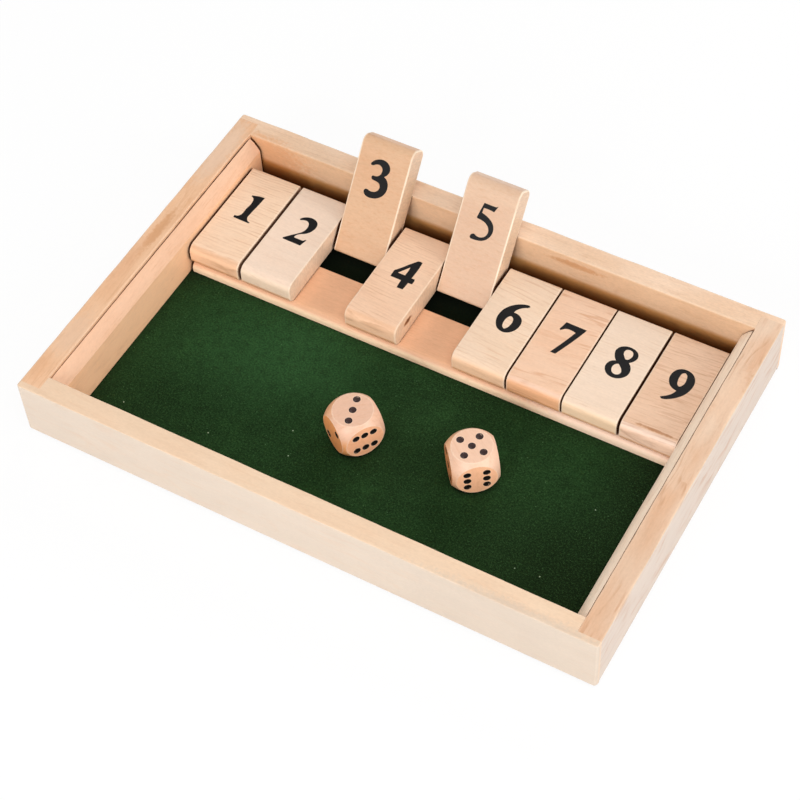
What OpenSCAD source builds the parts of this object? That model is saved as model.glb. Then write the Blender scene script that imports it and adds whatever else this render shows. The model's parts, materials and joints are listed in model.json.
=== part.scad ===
// Shut the box game: a flat wooden tray, nine numbered tiles on one rod, and two dice.
// Millimetres, +Z up. The origin is the centre of the tray's underside.
// +X runs along the tray towards the last tile, +Y from the rolling well to the tiles.

/* [Tray] */
// Outer width of the tray, front to back
tray_width = 143; // [130:1:200]
// Height of the four walls
wall_height = 24; // [20:0.5:32]
// Thickness of the front and back walls
long_wall_thickness = 8; // [6:0.5:12]
// Thickness of the two side walls
side_wall_thickness = 8; // [6:0.5:12]
// Thickness of the lip that laps each side wall's end
rabbet_lip = 2.4; // [2:0.1:4]
// Radius of the four outer upright corners
corner_radius = 1; // [0.5:0.1:2]
// Radius that eases the top edges of the walls
wall_easing = 0.5; // [0.2:0.1:1]
// Chamfer along the bottom outer edges of the walls
foot_chamfer = 0.8; // [0.2:0.1:1.5]

/* [Floor] */
// Thickness of the base board
base_thickness = 2; // [1.5:0.1:4]
// How far the base board runs in under each wall
base_inset = 4; // [2:0.5:5]
// Clearance around the base board in its rabbet
base_clearance = 0.1; // [0.05:0.05:0.3]
// Thickness of the felt lining
felt_thickness = 0.7; // [0.5:0.1:2]
// Gap between the felt's edge and the walls
felt_gap = 0.2; // [0.1:0.1:1]

/* [Rails] */
// Thickness of each rail
rail_thickness = 4; // [3:0.1:8]
// Gap between a rail and its side wall
rail_gap = 0.2; // [0.1:0.1:1]
// Gap between each end of a rail and the long walls
rail_end_gap = 0.5; // [0.1:0.1:2]
// Height of the rail's top below the top of the walls
rail_drop = 1.2; // [0.5:0.1:4]
// Radius of the rail's rounded upper inner edge
rail_round = 6.5; // [2:0.1:8]
// Depth of that round below the rail's top
rail_round_depth = 5.8; // [1:0.1:7]

/* [Rest strip] */
// Width of the rest strip, front to back
strip_width = 20; // [12:0.5:22]
// Thickness of the rest strip
strip_thickness = 4.2; // [3:0.1:7]
// Radius of the strip's bullnosed front edge
strip_nose_radius = 2.8; // [0.5:0.1:3]
// How far the strip's front edge sits behind the tile noses
strip_inset = 0.1; // [0:0.1:2]
// Gap between each end of the strip and its rail
strip_end_gap = 0.8; // [0.2:0.1:3]

/* [Tiles] */
// Width of each tile
tile_width = 20.2; // [17:0.1:26]
// Length of each tile
tile_length = 44; // [40:0.5:52]
// Thickness of each tile
tile_thickness = 9; // [7:0.5:12]
// Mean gap between neighbouring tiles
tile_gap = 0.9; // [0.5:0.1:3]
// Gap between the end tiles and the rails
row_end_gap = 0.8; // [0.5:0.1:3]
// Radius of the upper and lower edges of the free end
nose_radius = 3; // [1:0.1:3.4]
// Radius of the upper and lower edges of the hinged end
tail_radius = 2.2; // [1:0.1:3]
// Radius that eases the long edges of a tile
tile_easing = 0.4; // [0.1:0.1:1]
// Clearance between a turning tile's hinged end and the felt
tail_clearance = 0.63; // [0.3:0.01:1.5]
// Gap between a fully raised tile and the back wall's edge
lean_clearance = 0.1; // [0.05:0.05:0.5]

/* [Rod] */
// Diameter of the pivot rod
rod_diameter = 3; // [2:0.1:4]
// Distance from the back wall's inner face to the rod's axis
rod_setback = 14.8; // [12:0.1:18]
// Radial running clearance of the rod in each tile
rod_clearance = 0.05; // [0.02:0.01:0.1]
// Radial clearance of the rod in the rails
rod_seat_clearance = 0.02; // [0.01:0.01:0.1]
// Gap between each end of the rod and its side wall
rod_end_gap = 0.1; // [0.1:0.1:0.5]

/* [Dice] */
// Size of each die across its flats
die_size = 16; // [12:0.5:18]
// Radius of the flat circle left on each face by the rounding
die_flat_radius = 6.95; // [5:0.05:7.5]
// Radius of a pip at the face
pip_radius = 1.25; // [0.8:0.05:1.5]
// Depth of a pip
pip_depth = 0.5; // [0.2:0.05:0.8]
// Distance between neighbouring pips
pip_pitch = 3.23; // [2.8:0.01:3.6]
// First die, distance of its centre from the left wall
die_1_from_left = 94.6; // [60:0.1:110]
// First die, distance of its centre from the front wall
die_1_from_front = 38.4; // [14:0.1:44]
// First die, turn about the vertical
die_1_turn = 57.8; // [0:0.1:90]
// Second die, distance of its centre from the left wall
die_2_from_left = 136.4; // [125:0.1:146]
// Second die, distance of its centre from the front wall
die_2_from_front = 43.7; // [14:0.1:46]
// Second die, turn about the vertical
die_2_turn = 39.8; // [0:0.1:90]

/* [Hidden] */
$fn = 64;
tile_count = 9;
raised_tiles = [3, 5];
// Where each tile sits along the rod at rest, as a share of the gap between tiles
tile_shift = [0, 0.39, 0.39, 0.72, 0.21, 0.61, 0.39, 0.06, 0.11];
cut_over = 1;

tile_pitch = tile_width + tile_gap;
row_length = tile_count * tile_width + (tile_count - 1) * tile_gap;
inner_length = row_length + 2 * (row_end_gap + rail_thickness + rail_gap);
inner_width = tray_width - 2 * long_wall_thickness;
tray_length = inner_length + 2 * side_wall_thickness;
side_wall_length = tray_width - 2 * rabbet_lip;

base_length = inner_length + 2 * base_inset;
base_width = inner_width + 2 * base_inset;
felt_top = base_thickness + felt_thickness;
felt_length = inner_length - 2 * felt_gap;
felt_width = inner_width - 2 * felt_gap;

strip_top = felt_top + strip_thickness;
rod_y = inner_width / 2 - rod_setback;
rod_z = strip_top + tile_thickness / 2;
rod_length = inner_length - 2 * rod_end_gap;

// The hinged end's rounded corners sweep a circle that clears the felt
tail_sweep = rod_z - felt_top - tail_clearance;
tail_rise = tile_thickness / 2 - tail_radius;
tail_length = tail_radius + sqrt(pow(tail_sweep - tail_radius, 2) - pow(tail_rise, 2));
nose_reach = tile_length - tail_length;
nose_y = rod_y - nose_reach;
first_tile_x = -row_length / 2 + tile_width / 2;

strip_front = nose_y + strip_inset;
strip_length = inner_length - 2 * (rail_gap + rail_thickness + strip_end_gap);

rail_top = wall_height - rail_drop;
rail_height = rail_top - felt_top;
rail_inner = rail_gap + rail_thickness;
rail_length = inner_width - 2 * rail_end_gap;

// A raised tile leans back until its face meets the rounded top edge of the back wall
lean_run = rod_setback + wall_easing;
lean_rise = wall_height - wall_easing - rod_z;
lean_offset = tile_thickness / 2 + lean_clearance + wall_easing;
lean_back = acos(lean_offset / norm([lean_run, lean_rise])) - atan2(lean_rise, lean_run);
swing = 90 + lean_back;

die_ball = norm([die_size / 2, die_flat_radius]);
pip_ball = (pow(pip_radius, 2) + pow(pip_depth, 2)) / (2 * pip_depth);

// Pip places on a face, in units of the pip pitch
function pips(count) =
  count == 1 ? [[0, 0]] :
  count == 2 ? [[1, 1], [-1, -1]] :
  count == 3 ? [[1, 1], [0, 0], [-1, -1]] :
  count == 4 ? [[1, 1], [1, -1], [-1, 1], [-1, -1]] :
  count == 5 ? [[1, 1], [1, -1], [-1, 1], [-1, -1], [0, 0]] :
  [[-1, 1], [0, 1], [1, 1], [-1, -1], [0, -1], [1, -1]];

// Turns that carry the top face to the top, bottom, front, back, left and right
face_turns = [[0, 0, 0], [180, 0, 0], [90, 0, 0], [-90, 0, 0], [90, 0, -90], [90, 0, 90]];
// Pip count and quarter turns of each face, in that order
die_1_faces = [[3, 0], [4, 0], [6, 0], [1, 0], [2, 0], [5, 0]];
die_2_faces = [[5, 0], [2, 0], [6, 1], [1, 0], [3, 1], [4, 0]];

maple = [0.93, 0.82, 0.66];
warm_maple = [0.91, 0.74, 0.56];
tile_maple = [0.94, 0.83, 0.68];
plywood = [0.82, 0.68, 0.5];
felt_green = [0.13, 0.22, 0.11];
steel = [0.62, 0.63, 0.65];
die_wood = [0.9, 0.72, 0.5];

// Extrudes a drawing of the YZ plane along X, centred
module along_x(length) {
  rotate([90, 0, 90])
    linear_extrude(length, center = true)
      children();
}

// Extrudes a drawing of the XZ plane along Y, centred
module along_y(length) {
  rotate([90, 0, 0])
    linear_extrude(length, center = true)
      children();
}

// What rounding takes off the corner at a point; out gives the corner's direction
module corner_cut(point, out, radius) {
  translate([point[0] - out[0] * radius, point[1] - out[1] * radius])
    difference() {
      translate([out[0] > 0 ? 0 : -radius - cut_over, out[1] > 0 ? 0 : -radius - cut_over])
        square(radius + cut_over);
      circle(r = radius);
    }
}

// A wall's section, its outer side at run = outer and its inner side at outer - thickness
module wall_section(outer, thickness) {
  difference() {
    translate([outer - thickness, 0])
      square([thickness, wall_height]);
    corner_cut([outer, wall_height], [1, 1], wall_easing);
    corner_cut([outer - thickness, wall_height], [-1, 1], wall_easing);
    polygon([
      [outer - foot_chamfer - cut_over, -cut_over],
      [outer + cut_over, -cut_over],
      [outer + cut_over, foot_chamfer + cut_over]
    ]);
  }
}

// The tray's outline seen from above, with its rounded corners
module tray_outline() {
  difference() {
    square([tray_length, tray_width], center = true);
    for (x = [-1, 1])
      for (y = [-1, 1])
        corner_cut([x * tray_length / 2, y * tray_width / 2], [x, y], corner_radius);
  }
}

// The rabbet that the base board is let into
module base_rabbet() {
  translate([0, 0, base_thickness / 2 - cut_over / 2])
    cube([
      base_length + 2 * base_clearance,
      base_width + 2 * base_clearance,
      base_thickness + cut_over
    ], center = true);
}

// The back wall; the front wall is the same wall turned round
module long_wall() {
  difference() {
    intersection() {
      along_x(tray_length)
        wall_section(tray_width / 2, long_wall_thickness);
      linear_extrude(wall_height)
        tray_outline();
    }
    for (side = [-1, 1])
      translate([
        side * (tray_length / 2 - side_wall_thickness / 2 + cut_over / 2),
        tray_width / 2 - rabbet_lip - long_wall_thickness / 2,
        wall_height / 2
      ])
        cube([
          side_wall_thickness + cut_over,
          long_wall_thickness,
          wall_height + 2 * cut_over
        ], center = true);
    base_rabbet();
  }
}

// The right wall; the left wall is the same wall turned round
module side_wall() {
  difference() {
    along_y(side_wall_length)
      wall_section(tray_length / 2, side_wall_thickness);
    base_rabbet();
  }
}

module front_wall() {
  color(maple)
    rotate([0, 0, 180])
      long_wall();
}

module back_wall() {
  color(maple)
    long_wall();
}

module left_wall() {
  color(warm_maple)
    rotate([0, 0, 180])
      side_wall();
}

module right_wall() {
  color(warm_maple)
    side_wall();
}

module base_board() {
  color(plywood)
    translate([-base_length / 2, -base_width / 2, 0])
      cube([base_length, base_width, base_thickness]);
}

module felt() {
  color(felt_green)
    translate([-felt_length / 2, -felt_width / 2, base_thickness])
      cube([felt_length, felt_width, felt_thickness]);
}

// The right rail; the left rail is its mirror image
module rail() {
  inner_face = inner_length / 2 - rail_inner;
  difference() {
    along_y(rail_length)
      intersection() {
        translate([inner_face, felt_top])
          square([rail_thickness, rail_height]);
        union() {
          translate([inner_face, felt_top])
            square([rail_thickness, rail_height - rail_round_depth]);
          translate([inner_face + rail_round, rail_top - rail_round_depth])
            circle(r = rail_round);
        }
      }
    rod_bore(rod_seat_clearance);
  }
}

// A straight hole on the rod's axis
module rod_bore(clearance) {
  translate([0, rod_y, rod_z])
    rotate([0, 90, 0])
      cylinder(r = rod_diameter / 2 + clearance, h = tray_length, center = true);
}

module left_rail() {
  color(warm_maple)
    mirror([1, 0, 0])
      rail();
}

module right_rail() {
  color(warm_maple)
    rail();
}

module rest_strip() {
  color(warm_maple)
    along_x(strip_length)
      difference() {
        translate([strip_front, felt_top])
          square([strip_width, strip_thickness]);
        corner_cut([strip_front, strip_top], [-1, 1], strip_nose_radius);
      }
}

module pivot_rod() {
  color(steel)
    translate([0, rod_y, rod_z])
      rotate([0, 90, 0])
        cylinder(d = rod_diameter, h = rod_length, center = true);
}

// A tile lying flat, with the rod's axis as its X axis
module tile_blank() {
  half = tile_thickness / 2;
  difference() {
    intersection() {
      along_x(tile_width)
        difference() {
          translate([-nose_reach, -half])
            square([tile_length, tile_thickness]);
          for (z = [-1, 1]) {
            corner_cut([-nose_reach, z * half], [-1, z], nose_radius);
            corner_cut([tail_length, z * half], [1, z], tail_radius);
          }
        }
      along_y(2 * tile_length)
        difference() {
          square([tile_width, tile_thickness], center = true);
          for (x = [-1, 1])
            for (z = [-1, 1])
              corner_cut([x * tile_width / 2, z * half], [x, z], tile_easing);
        }
    }
    rotate([0, 90, 0])
      cylinder(r = rod_diameter / 2 + rod_clearance, h = tile_width + cut_over, center = true);
  }
}

// Tile number n at its place on the rod, raised if the list says so
module tile(n) {
  raised = len(search(n, raised_tiles)) > 0;
  color(tile_maple)
    translate([
      first_tile_x + (n - 1) * tile_pitch + tile_shift[n - 1] * tile_gap,
      rod_y,
      rod_z
    ])
      rotate([raised ? -swing : 0, 0, 0])
        tile_blank();
}

module tile_1() { tile(1); }
module tile_2() { tile(2); }
module tile_3() { tile(3); }
module tile_4() { tile(4); }
module tile_5() { tile(5); }
module tile_6() { tile(6); }
module tile_7() { tile(7); }
module tile_8() { tile(8); }
module tile_9() { tile(9); }

// A die with its corners rounded by a ball and a drilled pip for each point
module die(faces) {
  difference() {
    intersection() {
      cube(die_size, center = true);
      sphere(r = die_ball);
    }
    for (i = [0 : len(faces) - 1])
      rotate(face_turns[i])
        rotate([0, 0, 90 * faces[i][1]])
          for (place = pips(faces[i][0]))
            translate([
              place[0] * pip_pitch,
              place[1] * pip_pitch,
              die_size / 2 + pip_ball - pip_depth
            ])
              sphere(r = pip_ball);
  }
}

module placed_die(from_left, from_front, turn, faces) {
  color(die_wood)
    translate([
      from_left - inner_length / 2,
      from_front - inner_width / 2,
      felt_top + die_size / 2
    ])
      rotate([0, 0, turn])
        die(faces);
}

module die_1() {
  placed_die(die_1_from_left, die_1_from_front, die_1_turn, die_1_faces);
}

module die_2() {
  placed_die(die_2_from_left, die_2_from_front, die_2_turn, die_2_faces);
}

front_wall();
back_wall();
left_wall();
right_wall();
base_board();
felt();
left_rail();
right_rail();
rest_strip();
pivot_rod();
tile_1();
tile_2();
tile_3();
tile_4();
tile_5();
tile_6();
tile_7();
tile_8();
tile_9();
die_1();
die_2();
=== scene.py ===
"""Looks of the shut the box game: wood, felt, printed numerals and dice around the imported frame."""
import json
import math
import random

import bmesh
import bpy
import numpy as np
from mathutils import Euler, Matrix, Vector

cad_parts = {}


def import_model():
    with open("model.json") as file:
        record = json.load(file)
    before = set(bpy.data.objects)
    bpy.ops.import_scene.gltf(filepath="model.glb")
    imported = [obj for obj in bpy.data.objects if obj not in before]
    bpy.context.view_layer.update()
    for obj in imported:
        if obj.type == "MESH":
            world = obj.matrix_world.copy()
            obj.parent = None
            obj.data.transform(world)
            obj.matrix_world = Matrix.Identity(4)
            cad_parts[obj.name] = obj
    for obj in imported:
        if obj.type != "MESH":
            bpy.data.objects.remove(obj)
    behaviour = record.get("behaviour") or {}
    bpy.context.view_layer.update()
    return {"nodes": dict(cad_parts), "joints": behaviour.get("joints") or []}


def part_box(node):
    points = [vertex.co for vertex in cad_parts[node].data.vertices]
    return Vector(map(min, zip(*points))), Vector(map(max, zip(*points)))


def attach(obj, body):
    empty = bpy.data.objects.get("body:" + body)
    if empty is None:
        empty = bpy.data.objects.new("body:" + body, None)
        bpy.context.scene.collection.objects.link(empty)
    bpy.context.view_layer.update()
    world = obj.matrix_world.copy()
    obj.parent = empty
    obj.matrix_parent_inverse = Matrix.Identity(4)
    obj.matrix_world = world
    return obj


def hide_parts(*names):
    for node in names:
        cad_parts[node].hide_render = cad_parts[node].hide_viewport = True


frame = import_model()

MM = 0.001


def box_mm(node):
    """Lowest and highest corner of a CAD node at rest, in millimetres."""
    low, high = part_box(node)
    return np.array(low) / MM, np.array(high) / MM


def srgb(red, green, blue):
    """A colour given as it looks on a screen, 0 to 255, as linear RGBA."""
    out = []
    for level in (red, green, blue):
        c = level / 255
        out.append(c / 12.92 if c <= 0.04045 else ((c + 0.055) / 1.055) ** 2.4)
    return (*out, 1.0)


# Sizes that the frame gives, in millimetres
BACK_LO, BACK_HI = box_mm("back_wall")
SIDE_LO, SIDE_HI = box_mm("right_wall")
RAIL_LO, RAIL_HI = box_mm("right_rail")
STRIP_LO, STRIP_HI = box_mm("rest_strip")
FELT_LO, FELT_HI = box_mm("felt")
BASE_HI = box_mm("base_board")[1]
HALF_LENGTH = BACK_HI[0]
HALF_WIDTH = BACK_HI[1]
WALL_TOP = BACK_HI[2]
WALL_INNER_Y = BACK_LO[1]
WALL_INNER_X = SIDE_LO[0]
HINGES = {j["child"]: j for j in frame["joints"] if j["type"] == "hinge"}
ROD_Y = HINGES["tile_1"]["pos_m"][1] / MM
ROD_Z = HINGES["tile_1"]["pos_m"][2] / MM
TILE_LO, TILE_HI = box_mm("tile_1")
TILE_WIDTH = TILE_HI[0] - TILE_LO[0]
TILE_HALF_THICK = TILE_HI[2] - ROD_Z
NOSE_Y = TILE_LO[1] - ROD_Y
TAIL_Y = TILE_HI[1] - ROD_Y

# Sizes that the frame's boxes don't give, in millimetres
CORNER_RADIUS = 1.0
LIP = 2.4
WALL_EASING = 0.5
INNER_EASING = 0.4
INNER_WAVER = 0.125
JOINT_EASING = 0.06
JOINT_REACH = 0.4
FOOT_CHAMFER = 0.8
RABBET_CLEARANCE = 0.1
RAIL_ROUND = 12.5
RAIL_ROUND_DEPTH = 4.6
RAIL_EASING = 0.2
RAIL_WAVER = 0.05
RAIL_FOOT = 0.3
# how far each rail stands off its wall at the front, at the back, and off the back wall
RAIL_SLACK = {-1: (-0.15, -0.15, 0.5), 1: (0.08, 0.14, 0.1)}
# how far each side wall's inner face stands back from its rail at the front and at the back
WALL_SLACK = {-1: (0.0, 0.32), 1: (0.0, 0.0)}
STRIP_NOSE = 2.8
STRIP_EASING = 0.25
STRIP_HEEL = 0.2
REST_GAP = 0.04
TILE_NOSE = 3.03
TILE_TAIL = 1.0
TILE_EASING = 0.32
DIE_SIZE = 16.0
DIE_BALL = 10.6
PIP_RADIUS = 1.3
PIP_DEPTH = 0.5
PIP_PITCH = 3.23
PAINT_PROUD = 0.02
NAP_DIP = 0.09
FELT_EDGE_DROP = 0.25
FELT_EDGE_REACH = 0.8
# how far from an edge's round the flat is held flat, and the least round that an inset leaves
SUPPORT = 0.35
LEAST_ROUND = 0.02

CREVICE_SHADE = (106, 58, 28)
WOOD_GLOSS = 0.35


def add_object(name, data):
    made = bpy.data.objects.new(name, data)
    bpy.context.scene.collection.objects.link(made)
    return made


# Material graphs

class Graph:
    """The node tree of a material or a world, built by calls that return sockets."""

    def __init__(self, name, kind="materials"):
        self.host = getattr(bpy.data, kind).new(name)
        self.host.use_nodes = True
        self.tree = self.host.node_tree
        self.tree.nodes.clear()

    def make(self, kind, inputs=(), **settings):
        made = self.tree.nodes.new(kind)
        for key, value in settings.items():
            setattr(made, key, value)
        for key, value in dict(inputs).items():
            if isinstance(value, bpy.types.NodeSocket):
                self.tree.links.new(value, made.inputs[key])
            else:
                made.inputs[key].default_value = value
        return made

    def node(self, kind, inputs=(), out=0, **settings):
        return self.make(kind, inputs, **settings).outputs[out]

    def coords(self):
        """Where a point was on its piece when the piece was made, in millimetres."""
        return self.node("ShaderNodeAttribute", out="Vector", attribute_name="place")

    def object_coords(self):
        """Object coordinates in millimetres, for a mesh that has no place attribute."""
        place = self.node("ShaderNodeTexCoord", out="Object")
        return self.node("ShaderNodeVectorMath", {0: place, "Scale": 1 / MM}, operation="SCALE")

    def facing(self, way, start=0.6, full=0.9):
        """How far the surface faces a direction, 0 to 1, as the piece stands at rest."""
        normal = self.node("ShaderNodeTexCoord", out="Normal")
        return self.span(self.vector("DOT_PRODUCT", normal, way, out=1), start, full)

    def shut_in(self, reach, open_at=0.52, shut_at=0.28):
        """How shut in a point is by surfaces within reach mm of it, 0 to 1."""
        near = self.node("ShaderNodeAmbientOcclusion", {"Distance": reach * MM}, out="AO",
                         samples=6)
        return self.span(near, shut_at, open_at, 1.0, 0.0)

    def mapping(self, vector, move=(0, 0, 0), turn=(0, 0, 0), scale=(1, 1, 1)):
        return self.node("ShaderNodeMapping", {
            "Vector": vector, "Location": move,
            "Rotation": [math.radians(a) for a in turn], "Scale": scale})

    def noise(self, vector, scale=1.0, detail=2.0, rough=0.5):
        return self.node("ShaderNodeTexNoise", {
            "Vector": vector, "Scale": scale, "Detail": detail, "Roughness": rough})

    def math(self, operation, a, b=0.0):
        return self.node("ShaderNodeMath", {0: a, 1: b}, operation=operation)

    def times(self, first, *others):
        for other in others:
            first = self.math("MULTIPLY", first, other)
        return first

    def vector(self, operation, a, b=(0, 0, 0), out=0):
        return self.node("ShaderNodeVectorMath", {0: a, 1: b}, operation=operation, out=out)

    def away(self, vector, centre, radii):
        """How far a point is from a centre, counted in radii along each axis."""
        return self.vector("LENGTH", self.mapping(
            vector, move=[-c / r for c, r in zip(centre, radii)], scale=[1 / r for r in radii]),
            out=1)

    def span(self, value, low, high, to_low=0.0, to_high=1.0, smooth=True):
        """Maps a value from low..high to to_low..to_high, clamped."""
        return self.node("ShaderNodeMapRange", {
            "Value": value, "From Min": low, "From Max": high,
            "To Min": to_low, "To Max": to_high},
            interpolation_type="SMOOTHSTEP" if smooth else "LINEAR")

    def mix(self, share, a, b, blend="MIX"):
        """b over a by a share. A tuple is a colour as it looks on a screen."""
        a, b = (srgb(*c) if isinstance(c, tuple) else c for c in (a, b))
        return self.node("ShaderNodeMix", {0: share, 6: a, 7: b}, out=2, data_type="RGBA",
                         blend_type=blend)

    def tint(self, colour, tone, *shares, blend="MIX"):
        """A tone over a colour by the product of the shares."""
        return self.mix(self.times(*shares), colour, tone, blend)

    def dim(self, colour, level):
        grey = self.node("ShaderNodeCombineColor", {0: level, 1: level, 2: level})
        return self.mix(1.0, colour, grey, blend="MULTIPLY")

    def seen_by(self, *rays):
        """1 for the kinds of ray that are named, and otherwise 0."""
        path = self.make("ShaderNodeLightPath")
        seen = path.outputs[rays[0]]
        for ray in rays[1:]:
            seen = self.math("MAXIMUM", seen, path.outputs[ray])
        return seen

    def finish(self, colour, roughness, height=None, bump=0.3, distance=0.02, **uniform):
        """Ends the graph in a Principled shader; uniform values go on its own sockets."""
        inputs = {"Base Color": colour, "Roughness": roughness}
        inputs.update({key.replace("_", " "): value for key, value in uniform.items()})
        if height is not None:
            inputs["Normal"] = self.node("ShaderNodeBump", {
                "Height": height, "Strength": bump, "Distance": distance * MM})
        surface = self.node("ShaderNodeBsdfPrincipled", inputs)
        self.make("ShaderNodeOutputMaterial", {"Surface": surface})
        return self.host


def wood(name, light, deep, line, pith, ring, marks, turn=0.0, tilt=0.0, wander=2.5, cloud=0.5,
         mottle=0.0, speckle=0.035, seed=0.0, rough=0.42, spots=(), tones=(),
         edge=(250, 232, 208), wear=0.15, crevice=2.2, coat=0.0, pores=0.0, sinks=(), made=True):
    """Pale close-grained wood. The grain runs along X, turned about Z by turn degrees.
    pith is where the rings' centre lies across the grain, in mm, and ring their spacing.
    marks are the shares of ring lines, short fine lines and thin dark streaks. spots are marks
    at a place; tones are colours of the faces that look a given way, most of them painted light
    and shade for how the lamps fall, besides the end grain's own tone; sinks are painted shade,
    darkening the faces that look a given way from a height down to a lower one. crevice is how
    far the painted shade in creases and gaps reaches, in mm, and the pale tint of the eased edges
    is partly worn wood, partly painted highlight."""
    g = Graph(name)
    here = g.coords() if made else g.object_coords()
    along = g.mapping(here, turn=(0, tilt, turn))
    grain = g.mapping(along, move=(seed * 37.0, seed * 11.0, seed * 5.0))

    def field(x, y, z, detail=2.0, rough=0.5, move=(0, 0, 0)):
        """Noise with its scale per mm along the grain, across it and through it."""
        return g.noise(g.mapping(grain, scale=(x, y, z), move=move), 1.0, detail, rough)

    clouds = field(0.03, 0.07, 0.07, 3.0, 0.6)
    patches = field(0.05, 0.13, 0.1, 2.0, move=(9, 4, 2))
    others = field(0.06, 0.11, 0.1, 2.0, move=(3, 14, 7))
    drift = field(0.012, 0.05, 0.05, 3.0, 0.55)
    ripple = field(0.12, 0.6, 0.3)
    from_pith = g.vector("MULTIPLY", g.mapping(along, move=(0, -pith[0], -pith[1])), (0, 1, 1))
    radius = g.vector("LENGTH", from_pith, out=1)
    radius = g.math("ADD", radius, g.times(drift, wander * 4.0))
    radius = g.math("ADD", radius, g.times(ripple, 0.7))
    phase = g.math("FRACT", g.math("DIVIDE", radius, ring))
    late = g.times(g.span(phase, 0.5, 0.92), g.span(phase, 1.0, 0.94),
                   g.span(field(0.1, 0.8, 0.25, move=(5, 1, 8)), 0.38, 0.6),
                   g.span(patches, 0.38, 0.6, 0.1, 1.0))
    short = g.times(g.span(field(0.2, 2.9, 0.6, 3.0, 0.55), 0.5, 0.74),
                    g.span(others, 0.4, 0.6, 0.15, 1.0))
    vein = g.math("ABSOLUTE", g.math("SUBTRACT", field(0.02, 0.3, 0.1, 2.0, move=(1, 6, 4)), 0.5))
    vein = g.times(g.span(vein, 0.035, 0.0), g.span(others, 0.56, 0.4))
    colour = g.mix(g.times(g.span(clouds, 0.3, 0.7), cloud), light, deep)
    # face tones: mostly painted light and shade for how the lamps fall on faces that look that way
    for way, tone, share, *ends in tones:
        colour = g.tint(colour, tone, g.facing(way, *ends), share)
    for mask, share in zip((late, short, vein), marks):
        if share:
            colour = g.tint(colour, line, mask, share)
    if mottle:
        figure = g.noise(g.mapping(grain, turn=(0, 0, 28), scale=(0.45, 1.3, 1.3)), 1.0, 4.0, 0.7)
        colour = g.tint(colour, line, g.span(figure, 0.45, 0.75), mottle)
    for centre, radii, tone, share in spots:
        blur = g.math("SUBTRACT", g.noise(grain, 0.8, 3.0, 0.6), 0.5)
        reach = g.math("ADD", g.away(here, centre, radii), g.times(blur, 1.1))
        colour = g.tint(colour, tone, g.span(reach, 1.1, 0.45), share)
    grit = field(0.8, 1.7, 1.7, 3.0, 0.6)
    shade = g.span(grit, 0.3, 0.7, 1 - speckle, 1 + speckle, smooth=False)
    broad = g.span(field(0.07, 0.5, 0.2, 2.0), 0.3, 0.7, 0.98, 1.02, smooth=False)
    colour = g.dim(colour, g.times(shade, broad))
    # pale eased edges: partly worn wood, partly painted highlight
    edge_wear_and_highlight = g.node("ShaderNodeAttribute", out=2, attribute_name="edge")
    colour = g.tint(colour, edge, edge_wear_and_highlight, g.span(clouds, 0.25, 0.6, 0.4 * wear, wear))
    if pores:
        ends = g.math("MAXIMUM", g.facing((1, 0, 0)), g.facing((-1, 0, 0)))
        open_ends = g.span(field(0.3, 1.5, 0.45, 4.0, 0.65), 0.35, 0.66, 1 + 0.4 * pores, 1 - pores)
        colour = g.mix(ends, colour, g.dim(colour, open_ends))
    gloss = WOOD_GLOSS
    if crevice:
        # painted shade: creases and the gaps between parts darken by how shut in they are, and lose
        # their gloss there
        shut = g.shut_in(crevice)
        colour = g.tint(colour, CREVICE_SHADE, shut, blend="MULTIPLY")
        gloss = g.span(shut, 0.0, 0.6, WOOD_GLOSS, 0.0)
    # painted shade: faces that look a given way darken from one height down to a lower one
    for way, start, full, tone in sinks:
        depth = g.span(g.node("ShaderNodeSeparateXYZ", {0: here}, out="Z"), full, start, 1.0, 0.0)
        colour = g.tint(colour, tone, depth, g.facing(way), blend="MULTIPLY")
    roughness = g.span(grit, 0.2, 0.8, rough - 0.08, rough + 0.1)
    height = g.math("ADD", g.times(grit, 0.5), g.times(short, -0.5))
    return g.finish(colour, roughness, height, bump=0.35, distance=0.04, Specular_IOR_Level=gloss,
                    Coat_Weight=coat, Coat_Roughness=0.18)


# Mesh making

def new_piece(name, verts, faces, material, body, replaces=(), weights=None,
              matrix=Matrix(), sharp=32.0):
    """A mesh piece from points in millimetres that rides on a body and stands for CAD nodes."""
    bm = bmesh.new()
    # the edge layer holds the weights of the pale eased edges: partly worn wood, partly painted
    # highlight
    layer = bm.verts.layers.float.new("edge")
    place = bm.verts.layers.float_vector.new("place")
    made = []
    for i, point in enumerate(verts):
        v = bm.verts.new(matrix @ Vector(np.array(point, float) * MM))
        v[layer] = 0.0 if weights is None else float(weights[i])
        v[place] = Vector(point)
        made.append(v)
    for face in faces:
        corners = [made[i] for i in face]
        if len(set(corners)) > 2:
            bm.faces.new(corners)
    bmesh.ops.remove_doubles(bm, verts=bm.verts, dist=5e-7)
    bmesh.ops.dissolve_degenerate(bm, edges=bm.edges, dist=1e-7)
    bmesh.ops.recalc_face_normals(bm, faces=bm.faces)
    mesh = bpy.data.meshes.new(name)
    bm.to_mesh(mesh)
    bm.free()
    mesh.shade_smooth()
    mesh.set_sharp_from_angle(angle=math.radians(sharp))
    mesh.materials.append(material)
    piece = add_object(name, mesh)
    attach(piece, body)
    if replaces:
        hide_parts(*replaces)
    return piece


def loft(name, rings, material, weights, body="tray", matrix=Matrix(), sharp=32.0):
    """A piece skinned over rings of points and capped, which stands for the node of its name."""
    count = len(rings[0])
    faces = [tuple(range(count)), tuple(range((len(rings) - 1) * count, len(rings) * count))]
    for a in range(0, (len(rings) - 1) * count, count):
        for i in range(count):
            j = (i + 1) % count
            faces.append((a + i, a + j, a + count + j, a + count + i))
    return new_piece(name, [p for ring in rings for p in ring], faces, material, body,
                     (name.replace("_wood", ""),), weights, matrix, sharp)


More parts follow.
